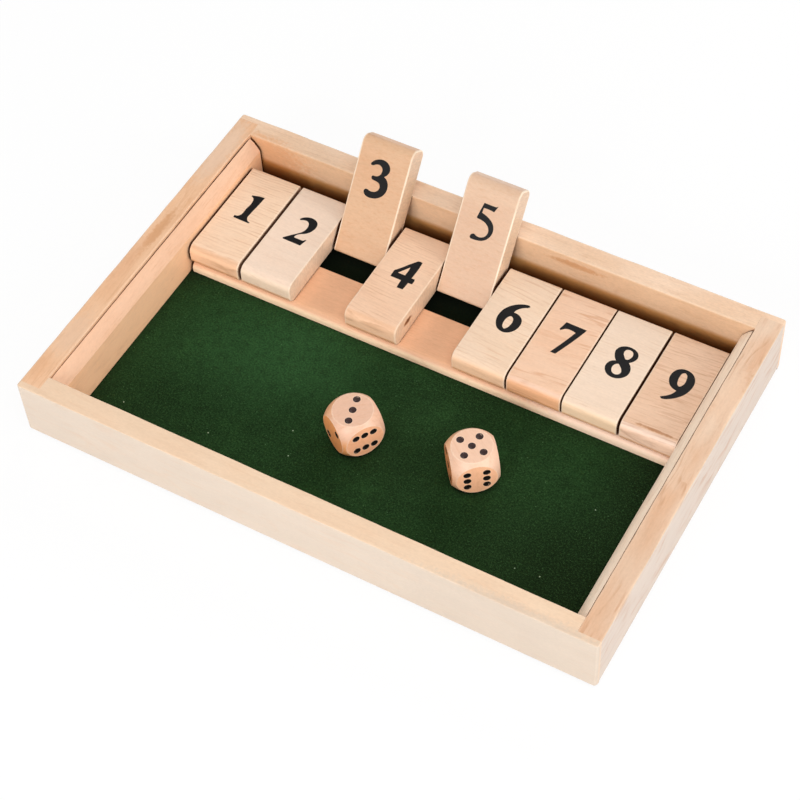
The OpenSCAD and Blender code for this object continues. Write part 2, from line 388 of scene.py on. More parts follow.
def grid(across, along):
    """The quads of a grid of cells, its points counted along first."""
    for i in range(across):
        for j in range(along):
            a = i * (along + 1) + j
            yield a, a + along + 1, a + along + 2, a + 1


def arc(centre, radius, start, end, steps):
    """Points on an arc, angles in degrees."""
    angles = np.radians(np.linspace(start, end, steps + 1))
    return [(centre[0] + radius * math.cos(a), centre[1] + radius * math.sin(a)) for a in angles]


def rounded_outline(low, high, radii, inset, steps):
    """A rectangle's outline with its four corners rounded, drawn inset. Corners go round from
    the low one. The points beside each round hold the flats flat."""
    (x0, y0), (x1, y1) = low, high
    corners = [(x0, y0, 1, 1), (x1, y0, -1, 1), (x1, y1, -1, -1), (x0, y1, 1, -1)]
    points = []
    for (x, y, right, up), radius, start in zip(corners, radii, (180, 270, 0, 90)):
        far = max(inset, radius)
        turn = arc((x + right * far, y + up * far), max(radius - inset, LEAST_ROUND), start,
                   start + 90, steps)
        end = math.radians(start + 90)
        c, s = SUPPORT * math.cos(end), SUPPORT * math.sin(end)
        (ax, ay), (bx, by) = turn[0], turn[-1]
        points += [(ax - c, ay - s)] + turn + [(bx - s, by + c)]
    return points


def bar(name, low, high, radii, start, stop, easing, steps, material, body="tray",
        matrix=Matrix(), spacing=5.0):
    """A bar along X with a rounded section, its ends' edges eased all round."""
    stations = [(start, easing + SUPPORT, 0.0)]
    for phi in np.radians(np.linspace(0, 90, 5)):
        stations.append((start + easing * (1 - math.cos(phi)), easing * (1 - math.sin(phi)), 1.0))
    inner_from, inner_to = start + easing + SUPPORT, stop - easing - SUPPORT
    count = max(2, int((inner_to - inner_from) / spacing))
    middle = [(x, 0.0, 0.0) for x in np.linspace(inner_from, inner_to, count + 1)]
    mirrored = [(start + stop - x, inset, w) for x, inset, w in reversed(stations)]
    rings, weights = [], []
    for x, inset, weight in stations + middle + mirrored:
        rings.append([(x, a, b) for a, b in rounded_outline(low, high, radii, inset, steps)])
        weights += [weight] * len(rings[-1])
    return loft(name, rings, material, weights, body, matrix)


def waver(seed, waves=5, shortest=9.0, longest=60.0):
    """A smooth random function of a length in mm, about -1 to 1, the same each run."""
    draw = random.Random(seed)
    parts = [(draw.uniform(shortest, longest), draw.uniform(0, math.tau), draw.uniform(0.5, 1))
             for _ in range(waves)]
    total = sum(p[2] for p in parts) * 0.6
    return lambda s: sum(k * math.sin(math.tau * s / w + f) for w, f, k in parts) / total


def wall_ring(out, inn, top, ease_out, ease_in, foot, rabbet, steps=5):
    """A wall's section from its outer to its inner side, with the weights of its pale eased edges,
    partly worn wood and partly painted highlight.
    """
    thick = out - inn
    ease_out, ease_in = min(ease_out, thick * 0.35), min(ease_in, thick * 0.35)
    hold = min(SUPPORT, thick * 0.1)
    points = [(out - foot, 0.0), (out, foot), (out, foot + hold), (out, top - ease_out - hold)]
    points += arc((out - ease_out, top - ease_out), ease_out, 0, 90, steps)
    points += [(out - ease_out - hold, top), (inn + ease_in + hold, top)]
    points += arc((inn + ease_in, top - ease_in), ease_in, 90, 180, steps)
    points += [(inn, top - ease_in - hold), (inn, BASE_HI[2]), (inn + rabbet, BASE_HI[2]),
               (inn + rabbet, 0.0)]
    worn = [1.0] * (steps + 1)
    weights = [0.0, 0.6, 0.0, 0.0] + worn + [0.0] * 2 + worn + [0.0] * 4
    return points, weights


def long_wall(name, sign, material, seed, rub=0.35):
    """Front or back wall: its ends thin to a lip with a rounded upright corner. In both kinds
    of wall, rub is how unevenly the top's outer edge is eased."""
    rabbet = BASE_HI[1] - WALL_INNER_Y + RABBET_CLEARANCE
    outer, inner = waver(seed), waver(seed + 1)
    corner = HALF_LENGTH - CORNER_RADIUS
    half = [(x, False) for x in np.linspace(0, WALL_INNER_X, 40)]
    half += [(x, True) for x in np.linspace(WALL_INNER_X, corner, 4)]
    half += [(HALF_LENGTH - CORNER_RADIUS * (1 - math.sin(math.radians(a))), True)
             for a in range(10, 91, 10)]
    stations = [(-x, lip) for x, lip in reversed(half)] + half[1:]
    rings, weights = [], []
    for x, lip in stations:
        over = max(0.0, abs(x) - corner)
        out = HALF_WIDTH - CORNER_RADIUS + math.sqrt(max(0.0, CORNER_RADIUS ** 2 - over ** 2))
        past = max(0.0, abs(x) - (HALF_LENGTH - WALL_EASING))
        drop = WALL_EASING - math.sqrt(max(0.0, WALL_EASING ** 2 - past ** 2))
        inn = HALF_WIDTH - LIP if lip else WALL_INNER_Y
        ease_out = WALL_EASING * (1 + rub * outer(x))
        ease_in = 0.0 if lip else INNER_EASING + INNER_WAVER * inner(x)
        foot = min(FOOT_CHAMFER, (out - inn) * 0.5)
        ring, weight = wall_ring(out, inn, WALL_TOP - drop, ease_out, ease_in, foot,
                                 0.0 if lip else rabbet)
        rings.append([(x, sign * s, z) for s, z in ring])
        weights += weight
    return loft(name, rings, material, weights)


def side_wall(name, sign, material, seed, rub=0.3):
    """Side wall: straight between the lips."""
    rabbet = BASE_HI[0] - WALL_INNER_X + RABBET_CLEARANCE
    outer, inner = waver(seed, shortest=12.0, longest=46.0), waver(seed + 1)
    end, stop = SIDE_HI[1], BASE_HI[1] + RABBET_CLEARANCE
    ys = [(-end, 0.0), (-stop, 0.0)]
    inside = list(np.linspace(-WALL_INNER_Y + 0.5, WALL_INNER_Y - 0.5, 56))
    corner = [WALL_INNER_Y - 0.3, (WALL_INNER_Y + stop) / 2, stop - 0.01]
    ys += [(y, rabbet) for y in [-c for c in reversed(corner)] + inside + corner]
    ys += [(stop, 0.0), (end, 0.0)]
    front_slack, back_slack = WALL_SLACK[sign]
    rings, weights = [], []
    for y, cut in ys:
        ease_out = WALL_EASING * (1 + rub * max(-0.6, outer(y)))
        ease_in = INNER_EASING + INNER_WAVER * inner(y)
        if abs(y) > WALL_INNER_Y - JOINT_REACH:
            ease_in = JOINT_EASING
        # the inner face stands off the rail, except at the corners
        slack = front_slack + (back_slack - front_slack) * (y + end) / (2 * end)
        slack *= min(1.0, max(0.0, (RAIL_HI[1] - abs(y)) / 2)) * (1 + 0.3 * inner(1.7 * y))
        ring, weight = wall_ring(HALF_LENGTH, WALL_INNER_X + slack, WALL_TOP, ease_out, ease_in,
                                 FOOT_CHAMFER, max(0.0, cut - slack) if cut else 0.0)
        rings.append([(sign * s, y, z) for s, z in ring])
        weights += weight
    return loft(name, rings, material, weights)


def rail(name, sign, material):
    """A rail with its upper inner edge rounded and its other upper edges eased."""
    inner, outer, bottom, top = RAIL_LO[0], RAIL_HI[0], RAIL_LO[2], RAIL_HI[2]
    # the round meets the inner face at a slight corner
    reach = math.hypot(outer - RAIL_EASING - inner, RAIL_ROUND_DEPTH)
    lean = math.degrees(math.atan2(RAIL_ROUND_DEPTH, outer - RAIL_EASING - inner))
    half = math.degrees(math.asin(reach / 2 / RAIL_ROUND))
    deep = math.sqrt(RAIL_ROUND ** 2 - reach ** 2 / 4)
    side = math.radians(lean - 90)
    centre = ((inner + outer - RAIL_EASING) / 2 + deep * math.cos(side),
              top - RAIL_ROUND_DEPTH / 2 + deep * math.sin(side))
    section = [(outer, bottom), (outer, top - RAIL_ROUND_DEPTH)]
    section += arc((outer - RAIL_EASING, top - RAIL_EASING), RAIL_EASING, 0, 90, 4)
    section += arc(centre, RAIL_ROUND, lean + 90 - half, lean + 90 + half, 12)
    section += [(inner, bottom + RAIL_FOOT), (inner + RAIL_FOOT / 3, bottom)]
    # weights of the pale eased edges: partly worn wood, partly painted highlight
    weights = [0.0, 0.0] + [0.4] * 5 + [0.1] * 12 + [0.6, 0.0, 0.0]
    middle = ((inner + outer) / 2, (bottom + top) / 2)
    rub = waver(77 + sign)
    front_slack, back_slack, end_slack = RAIL_SLACK[sign]
    first, last = RAIL_LO[1], RAIL_HI[1] - end_slack
    ends = [(RAIL_EASING * (1 - math.cos(a)), RAIL_EASING * (1 - math.sin(a)))
            for a in np.radians(np.linspace(0, 90, 4))]
    stations = [(first + s, i) for s, i in ends]
    stations += [(y, 0.0) for y in np.linspace(first + 1.0, last - 1.0, 40)]
    stations += [(last - s, i) for s, i in reversed(ends)]
    rings, wear = [], []
    for y, inset in stations:
        drop = RAIL_WAVER * (1 + rub(y))
        along = (y - first) / (last - first)
        slack = front_slack + (back_slack - front_slack) * along ** 1.5
        ring = []
        for s, z in section:
            if s > middle[0] and z > middle[1]:
                s -= slack * (1 + 0.25 * rub(1.7 * y)) * (s - middle[0]) / (outer - middle[0])
            s += math.copysign(min(inset, abs(middle[0] - s)), middle[0] - s)
            z += math.copysign(min(inset, abs(middle[1] - z)), middle[1] - z)
            ring.append((sign * s, y, z - (drop if z > middle[1] else 0)))
        rings.append(ring)
        wear += [max(w, 0.8 if inset else 0.0) for w in weights]
    return loft(name, rings, material, wear, sharp=9.0)


# Walls, rails and strip

# the outer face and its right corner take a darker tone: painted shade
front_wood = wood(
    "front_wall_wood", (234, 205, 176), (233, 197, 165), (214, 170, 134), (-40, 30), 2.6,
    (0.15, 0.12, 0.12), wander=5.0, seed=1.0, wear=0.05,
    tones=[((0, -1, 0), (213, 197, 181), 0.94),
           ((0.71, -0.71, 0), (208, 192, 176), 0.94, 0.72, 0.9)],
    spots=[((85, -71.5, 10), (55, 4, 30), (207, 190, 173), 0.6)])
# the inner face darkens down behind the tiles' tails: painted shade
back_wood = wood(
    "back_wall_wood", (238, 206, 178), (229, 190, 156), (200, 148, 106), (90, 40), 3.0,
    (0.2, 0.2, 0.2), wander=7.0, cloud=0.7, seed=2.0, speckle=0.055, crevice=2.5,
    tones=[((0, -1, 0), (230, 190, 152), 0.75)],
    sinks=[((0, -1, 0), 14.8, 12.0, (232, 205, 155)), ((0, -1, 0), 13.0, 6.0, (135, 106, 80))],
    spots=[((33, 63.5, 20.5), (12, 3, 1.6), (206, 146, 96), 0.65),
           ((-100, 63.5, 16), (28, 4, 14), (226, 168, 122), 0.75)])
left_wood = wood(
    "left_wall_wood", (241, 200, 165), (228, 178, 138), (190, 132, 88), (60, -14), 3.4,
    (0.22, 0.2, 0.2), turn=-90, wander=8.0, cloud=0.8, seed=3.0, crevice=1.2,
    spots=[((-103.5, 8, 24), (2.2, 14, 3), (206, 150, 104), 0.7),
           ((-100.6, 44, 24), (2.6, 30, 3), (222, 166, 122), 0.35),
           ((-105.0, -62, 24), (3.0, 7, 3), (220, 166, 124), 0.4),
           ((-103.5, -44, 24), (5, 12, 3), (226, 192, 164), 0.5),
           ((-105.5, -6, 24), (3, 16, 3), (220, 168, 130), 0.4),
           ((-104.5, 52, 24), (5, 20, 3), (230, 198, 172), 0.7)])
# the outer face takes a darker tone: painted shade
right_wood = wood(
    "right_wall_wood", (228, 198, 172), (220, 173, 137), (190, 136, 96), (-30, -10), 4.2,
    (0.5, 0.2, 0.2), turn=-90, wander=9.0, cloud=0.9, seed=4.0, crevice=0.8,
    tones=[((1, 0, 0), (211, 195, 182), 0.94)],
    spots=[((103.5, -44, 24), (5, 34, 2), (216, 178, 148), 0.45),
           ((104, 32, 24), (5, 16, 2), (236, 204, 176), 0.5)])
# the inner face takes a lighter tone: painted light
left_rail_wood = wood(
    "left_rail_wood", (237, 193, 161), (229, 180, 146), (214, 158, 118), (50, 20), 2.0,
    (0.2, 0.35, 0.15), turn=-90, wander=4.0, seed=5.0, crevice=2.5,
    tones=[((1, 0, 0), (255, 205, 162), 0.97, 0.86, 0.99)])
right_rail_wood = wood(
    "right_rail_wood", (255, 236, 214), (255, 226, 200), (212, 168, 134), (50, 20), 1.8,
    (0.3, 0.3, 0.15), turn=-90, wander=4.0, cloud=0.6, seed=7.0, crevice=1.0)
# the front face takes a lighter tone and the upper front round a darker one, painted light and shade;
# the pale patch at the right of the front is a painted highlight
strip_wood = wood(
    "strip_wood", (244, 192, 154), (236, 180, 140), (212, 154, 114), (-30, -50), 1.6,
    (0.15, 0.35, 0.1), wander=3.0, cloud=0.6, seed=6.0, rough=0.38, crevice=1.6,
    spots=[((70, STRIP_LO[1], STRIP_HI[2]), (34, 6, 6), (246, 220, 202), 0.6)],
    tones=[((0, -0.7, 0.7), (234, 184, 150), 0.6, 0.86, 1.0),
           ((0, -1, 0), (255, 224, 190), 0.95, 0.66, 0.96)])

long_wall("front_wall_wood", -1, front_wood, 11)
long_wall("back_wall_wood", 1, back_wood, 21)
side_wall("left_wall_wood", -1, left_wood, 31)
side_wall("right_wall_wood", 1, right_wood, 41, rub=1.2)
rail("left_rail_wood", -1, left_rail_wood)
rail("right_rail_wood", 1, right_rail_wood)
bar("rest_strip_wood", (STRIP_LO[1], STRIP_LO[2]), (STRIP_HI[1], STRIP_HI[2] - REST_GAP),
    (STRIP_EASING, STRIP_HEEL, STRIP_EASING, STRIP_NOSE), STRIP_LO[0], STRIP_HI[0], STRIP_EASING, 8,
    strip_wood)


# Numerals, drawn in tile-face millimetres: x from the tile's left edge, y down its face.
# A point marked ! is a corner, and the outline passes the others smoothly.

NUMERALS = {
    1: ["""6.8,12.35! 7.8,12.1 8.9,11.75 11.5,11.45! 11.25,15.5 10.85,20.5 10.85,22.4 11.5,23.5
    12.9,24.15! 12.7,24.5! 6.3,24.4! 6.1,23.45! 7.4,23.15 8.05,22.3 8.3,19 8.55,15 8.2,13.8
    7.5,13.05 6.8,12.8!"""],
    2: ["""6.45,14.2! 7.2,13.25 8.6,12.4 10.3,12.1 12,12.45 13.25,13.5 13.7,15 13.55,16.6 12.85,18.3
    11.8,19.5 10.35,20.4 9.2,21.6 8.9,22.5! 9.2,22.85! 12.1,22.9! 12.75,22.8 13.3,22.1!
    13.7,22.1! 12.95,25.15! 5.75,25.02! 5.6,24.6! 7.3,22.7 9,21 10.5,19.2 11.05,17.4 10.9,15.7
    10.3,14.55 9.1,13.95 8,14.1 6.8,14.65!"""],
    3: ["""5,9.2! 5.9,7.95 7.4,7.05 9.1,6.65 10.8,6.95 12.1,7.95 12.65,9.3 12.5,10.4 11.9,11.4
    11.05,12.25! 12.3,13 13.15,14.3 13.4,15.8 13.1,17.5 12.1,19.1 10.5,20.35 8.7,20.95 6.9,21.05
    5.6,20.55 5,19.6 5.25,18.75 6,18.5 7.1,18.8 8.4,18.75 9.6,18.2 10.3,17.35 10.5,16.3
    10.1,15.3 9.1,14.75 7.7,14.55 6.75,14.3 6.5,13.75 6.8,13.2 7.5,13.1 8.4,12.95 9.4,12.2
    9.9,11 9.8,9.85 9.2,9.1 8.2,8.7 7,8.95 5.75,9.6 5.2,9.6!"""],
    4: ["""11.3,12.6! 12.1,12.4 13,12.55! 13.15,15 13,20.5! 14.25,20.45! 14.5,21.2 14.35,22.7!
    12.95,22.75! 12.85,24.5 12.65,26.2! 10.45,26.3! 10.3,24.5 10.25,22.8! 5.95,22.75! 5.85,19.9!
    7.6,17.7 9.1,15.5!""",
    """10.3,16! 9,18 7.4,20.3! 10.4,20.35! 10.5,18!"""],
    5: ["""7.85,8.1! 10.2,8.15 12.4,8.1! 13,7.75! 12.1,9.9! 10,9.7 8.05,9.75! 7.9,11.65! 9.2,12
    10.6,12.55 12.1,13.45 13.2,14.8 13.6,16.4 13.3,18.2 12.3,19.8 10.7,20.95 8.7,21.45
    6.3,21.55! 6,21.1! 6.2,20.2 7,19.7 8.4,20.15 9.8,20.15 11,19.55 11.85,18.4 12.05,17.1
    11.5,15.75 10.3,14.7 8.7,14.15 6.75,13.95! 6.6,13.6! 7.2,10.9!"""],
    6: ["""14,13.15! 13.6,12.7! 12.6,12.8 11.2,13.25 9.4,14.25 7.7,15.85 6.45,17.9 5.9,20.4 6,22.5
    6.75,24.6 8,26.25 9.4,26.95 10.8,27.1 12.6,26.35 13.85,24.9 14.55,22.9 14.55,21.1 13.95,19.5
    12.8,18.45 11.3,17.9 10.1,17.85! 10.3,16.8 11,15.6 12.2,14.5 13.4,13.8!""",
    """10.05,19.65 11.1,20.2 11.65,21.6 11.6,23.5 11,25.1 10.35,25.7 9.5,25.2 8.9,23.7 8.85,21.8
    9.25,20.4"""],
    7: ["""7.4,13.4! 11,13.5 15,13.55! 14.9,14.2! 14,17 10.05,27.35! 8.2,27.4! 11.6,18.2
    12.25,16.15! 10.8,15.85 9.4,15.8 8.2,16.15 7.35,17 7,17.3! 6.55,17! 7,15.2!"""],
    8: ["""11,13.4 12.9,13.85 14.25,15 14.7,16.6 14.2,18.2 12.9,19.65! 14.1,20.9 14.85,22.7
    14.75,24.6 13.6,26.4 12,27.4 10.5,27.65 8.7,27.25 7.3,26.1 6.5,24.4 6.55,22.9 7.3,21.5
    8.75,20.65! 7.9,19.7 7.15,18.3 6.75,16.6 7.4,14.9 8.9,13.75""",
    """10.9,14.45 12.3,14.9 12.9,16.1 12.75,17.5 12,18.65 11.35,18.8 10.5,18 9.75,17 9.5,15.8
    9.95,14.8""",
    """10,21.5 11,22.25 12,23.4 12.4,24.7 11.9,25.7 10.7,26.15 9.5,25.7 8.75,24.4 8.65,23.1
    9.2,22"""],
    9: ["""10.8,13.6 12.55,14.05 14,15.25 14.9,17 15.1,19.1 14.7,21.5 13.8,23.6 12.3,25.5 10.5,27
    8.8,27.95 7.7,28.15! 7.2,27.6! 9.05,26.15 10.3,24.7 11,22.95! 9.8,22.75 8.4,22.05 7.15,20.5
    6.55,18.7 6.6,17 7.35,15.1 8.8,13.9""",
    """10.5,14.9 11.4,15.4 12,17 12.2,18.7 11.85,20.1 11,21.05 10.1,20.5 9.6,19.1 9.4,17
    9.75,15.4"""],
}
RAISED = (3, 5)
LYING_TOP = 12.6
RAISED_TOP = 7.2
INK_PROUD = 0.02
INK_SINK = 0.03
INK_SPREAD = 0.06
# how far each numeral is shifted towards +X on its tile
INK_SHIFT = {1: 0.3, 2: 0.55, 3: 0.5, 4: 0.65, 5: 0.45, 6: 0.25, 7: 0.05, 8: 0.05, 9: -0.1}


def smooth_outline(text, steps=8):
    """The closed outline that a numeral's text gives, as points in millimetres."""
    points, corner = [], []
    for word in text.split():
        corner.append(word.endswith("!"))
        points.append(np.array([float(v) for v in word.rstrip("!").split(",")]))
    count, out = len(points), []

    def tangent(a, b, c):
        before, after = np.linalg.norm(b - a), np.linalg.norm(c - b)
        return ((b - a) / before * after + (c - b) / after * before) / (before + after)

    for i in range(count):
        a, b = points[i], points[(i + 1) % count]
        length = np.linalg.norm(b - a)
        leave = None if corner[i] else tangent(points[i - 1], a, b) * length
        arrive = None
        if not corner[(i + 1) % count]:
            arrive = tangent(a, b, points[(i + 2) % count]) * length
        if leave is None and arrive is None:
            out.append(a)
            continue
        if leave is None:
            leave = 1.5 * (b - a) - 0.5 * arrive
        if arrive is None:
            arrive = 1.5 * (b - a) - 0.5 * leave
        for k in range(steps):
            t = k / steps
            out.append((2 * t ** 3 - 3 * t ** 2 + 1) * a + (t ** 3 - 2 * t ** 2 + t) * leave
                       + (3 * t ** 2 - 2 * t ** 3) * b + (t ** 3 - t ** 2) * arrive)
    return out


def numeral_top(digit):
    return min(y for text in NUMERALS[digit] for _, y in smooth_outline(text))


def ink_material():
    g = Graph("ink")
    here = g.coords()
    worn = g.span(g.noise(here, 1.4, 4.0, 0.7), 0.62, 0.8)
    colour = g.tint((14, 13, 15), (36, 33, 32), worn, 0.35)
    roughness = g.span(g.noise(here, 3.0, 3.0), 0.3, 0.7, 0.4, 0.6)
    return g.finish(colour, roughness, g.noise(here, 6.0, 2.0), bump=0.1, Specular_IOR_Level=0.22)


INK = ink_material()


def numeral(name, digit, top, upper, matrix, body):
    """Ink of one numeral as a thin film on a tile's upper or lower face."""
    shift = top - numeral_top(digit)
    curve = bpy.data.curves.new(name, "CURVE")
    curve.dimensions = "2D"
    curve.fill_mode = "BOTH"
    curve.extrude = (INK_PROUD + INK_SINK) / 2 * MM
    curve.offset = INK_SPREAD * MM
    for text in NUMERALS[digit]:
        points = smooth_outline(text)
        spline = curve.splines.new("POLY")
        spline.points.add(len(points) - 1)
        for p, (x, y) in zip(spline.points, points):
            p.co = ((x + INK_SHIFT[digit] - TILE_WIDTH / 2) * MM, -(y + shift) * MM, 0, 1)
        spline.use_cyclic_u = True
    drawn = add_object(name + "_curve", curve)
    bpy.context.view_layer.update()
    mesh = bpy.data.meshes.new_from_object(drawn.evaluated_get(
        bpy.context.evaluated_depsgraph_get()))
    bpy.data.objects.remove(drawn)
    middle = TILE_HALF_THICK + (INK_PROUD - INK_SINK) / 2
    if upper:
        onto = Matrix.Translation((0, TAIL_Y * MM, middle * MM))
    else:
        onto = Matrix.Translation((0, NOSE_Y * MM, -middle * MM)) @ Matrix.Rotation(math.pi, 4, "X")
    mesh.transform(onto)
    place = mesh.attributes.new("place", "FLOAT_VECTOR", "POINT")
    place.data.foreach_set("vector", [c / MM for v in mesh.vertices for c in v.co])
    mesh.transform(matrix)
    mesh.materials.clear()
    mesh.materials.append(INK)
    mesh.name = name
    piece = add_object(name, mesh)
    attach(piece, body)


# Tiles

END_GRAIN = (240, 212, 182)
# painted shade on the faces under the tiles' front rounds
UNDER_NOSE_SHADE = (238, 166, 100)
# each tile's light, deep and line colours, pith, ring, marks, and what else its wood has; its tones
# for the front and upper rounds are painted light and shade
TILE_WOODS = {
    1: ((244, 212, 183), (239, 202, 170), (206, 154, 114), (-70, 4), 1.35, (0.55, 0.25, 0.15),
        dict(nose=(252, 204, 166), upper=(228, 182, 146))),
    2: ((240, 215, 194), (237, 206, 182), (208, 164, 130), (60, -20), 1.9, (0.15, 0.2, 0.12),
        dict(nose=(250, 224, 198))),
    3: ((221, 181, 146), (214, 165, 128), (202, 140, 96), (30, -90), 3.2, (0.06, 0.12, 0.08),
        dict(mottle=0.35, wear=0.9)),
    4: ((240, 203, 173), (234, 190, 158), (200, 150, 114), (-80, 10), 1.25, (0.45, 0.25, 0.12),
        dict(nose=(250, 206, 170), upper=(232, 186, 150),
             spots=[((10, -27.5, 0.6), (1.2, 3.4, 1.3), (142, 84, 28), 1.0),
                    ((10, -27.2, 0.8), (1.2, 1.6, 0.6), (86, 46, 12), 1.0)])),
    5: ((223, 189, 161), (217, 176, 147), (204, 150, 110), (20, -90), 3.5, (0.06, 0.15, 0.08),
        dict(mottle=0.3, wear=0.9)),
    6: ((238, 210, 184), (233, 200, 170), (206, 156, 116), (70, 20), 1.7, (0.4, 0.2, 0.2),
        dict(nose=(250, 206, 168))),
    7: ((238, 200, 171), (230, 182, 147), (204, 142, 98), (-50, 50), 2.4, (0.25, 0.25, 0.45),
        dict(nose=(246, 186, 140), upper=(240, 204, 180))),
    8: ((238, 214, 192), (234, 206, 181), (210, 168, 132), (80, 10), 1.2, (0.3, 0.12, 0.05),
        dict(nose=(252, 220, 184))),
    9: ((233, 196, 167), (222, 180, 148), (184, 130, 94), (-60, -16), 1.6, (0.4, 0.35, 0.35),
        dict(nose=(250, 214, 188), upper=(242, 216, 198),
             spots=[((2, -33.5, 4.5), (9, 0.7, 1.5), (170, 112, 66), 0.7)])),
}


def tile(number):
    body = f"tile_{number}"
    low, high = box_mm(body)
    angle = -HINGES[body]["range_deg"][0] if number in RAISED else 0.0
    matrix = (Matrix.Translation(((low[0] + high[0]) / 2 * MM, ROD_Y * MM, ROD_Z * MM))
              @ Matrix.Rotation(math.radians(-angle), 4, "X"))
    ends = [((1, 0, 0), END_GRAIN, 0.6), ((-1, 0, 0), END_GRAIN, 0.6)]
    *grain, others = TILE_WOODS[number]
    look = {"wear": 0.35, **others}
    nose, upper = look.pop("nose", None), look.pop("upper", None)
    # the tones of the upper round, the front round and the face under it are painted light and shade
    if upper:
        ends.append(((0, -0.7, 0.71), upper, 0.85, 0.84, 0.99))
    if nose:
        ends.append(((0, -1, 0), nose, 0.9, 0.55, 0.97))
        ends.append(((0, -0.87, -0.5), UNDER_NOSE_SHADE, 0.75, 0.86, 1.0))
    material = wood(body + "_wood", *grain, tilt=random.Random(number).uniform(-4, 4),
                    turn=random.Random(number + 50).uniform(-5, 5), seed=10.0 + number,
                    tones=ends, crevice=3.0, pores=0.1, rough=0.36, **look)
    bar(body + "_wood", (NOSE_Y, -TILE_HALF_THICK), (TAIL_Y, TILE_HALF_THICK),
        (TILE_NOSE, TILE_TAIL, TILE_TAIL, TILE_NOSE), -TILE_WIDTH / 2, TILE_WIDTH / 2, TILE_EASING,
        10, material, body, matrix)
    own = numeral_top(number)
    raised = number in RAISED
    numeral(f"number_{number}_lying", number, LYING_TOP if raised else own, True, matrix, body)
    numeral(f"number_{number}_raised", number, own if raised else RAISED_TOP, False, matrix, body)


for number in range(1, 10):
    tile(number)


# Dice

FACE_TURNS = {
    "top": (0, 0, 0), "bottom": (180, 0, 0), "front": (90, 0, 0), "back": (-90, 0, 0),
    "left": (90, 0, -90), "right": (90, 0, 90),
}
PIPS = {
    1: [(0, 0)],
    2: [(1, 1), (-1, -1)],
    3: [(1, 1), (0, 0), (-1, -1)],
    4: [(1, 1), (1, -1), (-1, 1), (-1, -1)],
    5: [(1, 1), (1, -1), (-1, 1), (-1, -1), (0, 0)],
    6: [(-1, 1), (0, 1), (1, 1), (-1, -1), (0, -1), (1, -1)],
}
# each die's turn, and the pips and the quarter turn of each face, in the order of FACE_TURNS
DICE = {
    "die_1": (57.8, (3, 4, 6, 1, 2, 5), (0, 0, 0, 0, 0, 0)),
    "die_2": (39.8, (5, 2, 6, 1, 3, 4), (0, 0, 1, 0, 1, 0)),
}
PIP_BALL = (PIP_RADIUS ** 2 + PIP_DEPTH ** 2) / (2 * PIP_DEPTH)
FLAT_RADIUS = math.sqrt(DIE_BALL ** 2 - (DIE_SIZE / 2) ** 2)
FACE_STEPS = 52


def turn_matrix(degrees):
    """The rotation that a node in the part's source writes as rotate(degrees)."""
    x, y, z = (Matrix.Rotation(math.radians(a), 3, axis) for a, axis in zip(degrees, "XYZ"))
    return np.array(z @ y @ x)


def dimple(distance):
    """How deep a pip is at a distance from its centre."""
    ball = np.sqrt(np.maximum(0.0, PIP_BALL ** 2 - np.square(distance)))
    return np.maximum(0.0, ball - (PIP_BALL - PIP_DEPTH))


def snap(x, y, on, centre, radius, mark):
    """Moves the grid points nearest to a circle onto it, so that its edge comes out crisp."""
    dx, dy = x - centre[0], y - centre[1]
    r = np.hypot(dx, dy)
    off = r - radius
    near = np.zeros_like(on, bool)
    for one, other in ((np.s_[:-1, :], np.s_[1:, :]), (np.s_[:, :-1], np.s_[:, 1:])):
        across = off[one] * off[other] < 0
        first = np.abs(off[one]) <= np.abs(off[other])
        near[one] |= across & first
        near[other] |= across & ~first
    scale = np.where(near, radius / np.maximum(r, 1e-6), 1.0)
    x[:], y[:] = centre[0] + dx * scale, centre[1] + dy * scale
    on[near] = mark


